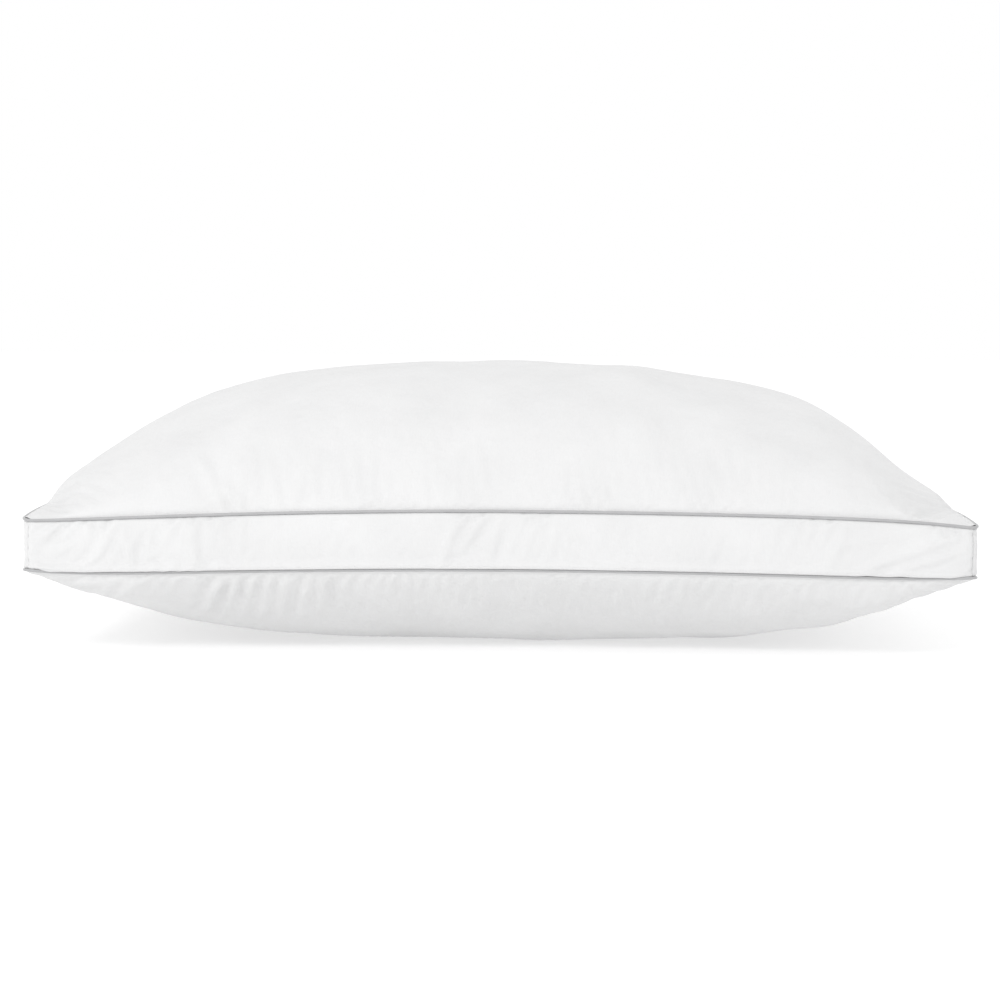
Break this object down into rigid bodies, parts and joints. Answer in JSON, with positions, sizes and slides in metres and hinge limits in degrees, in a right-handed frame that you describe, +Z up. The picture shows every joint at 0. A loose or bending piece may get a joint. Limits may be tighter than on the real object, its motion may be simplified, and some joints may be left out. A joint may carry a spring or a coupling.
{
  "type": "bed pillow",
  "caption": "Rectangular bed pillow with domed top and bottom panels, a straight gusset, and contrast piping round both edge seams.",
  "frame": {"origin": "centre of the flat patch of the bottom panel that the pillow rests on", "axes": "+X along the pillow's length, +Y across its width towards the back, +Z up through the crown"},
  "size_m": [0.739, 0.49, 0.2275],
  "materials": {
    "ticking": "fine white cotton, faint sheen",
    "piping": "silver-grey satin cut on the bias",
    "piping_cord": "twisted cotton cord",
    "thread": "white sewing thread",
    "label": "plain non-woven tape, blank",
    "fill": "loose soft fibre"
  },
  "bodies": {
    "root": {"top_panel": "ticking", "bottom_panel": "ticking", "gusset_front": "ticking", "gusset_back": "ticking", "gusset_left": "ticking", "gusset_right": "ticking", "top_piping_cover": "piping", "top_piping_cord": "piping_cord", "bottom_piping_cover": "piping", "bottom_piping_cord": "piping_cord", "top_seam_needle_thread": "thread", "top_seam_bobbin_thread": "thread", "bottom_seam_needle_thread": "thread", "bottom_seam_bobbin_thread": "thread", "top_seam_overlock": "thread", "bottom_seam_overlock": "thread", "corner_seam_threads": "thread", "closing_stitches": "thread", "care_label": "label", "fill": "fill"}
  },
  "joints": []
}
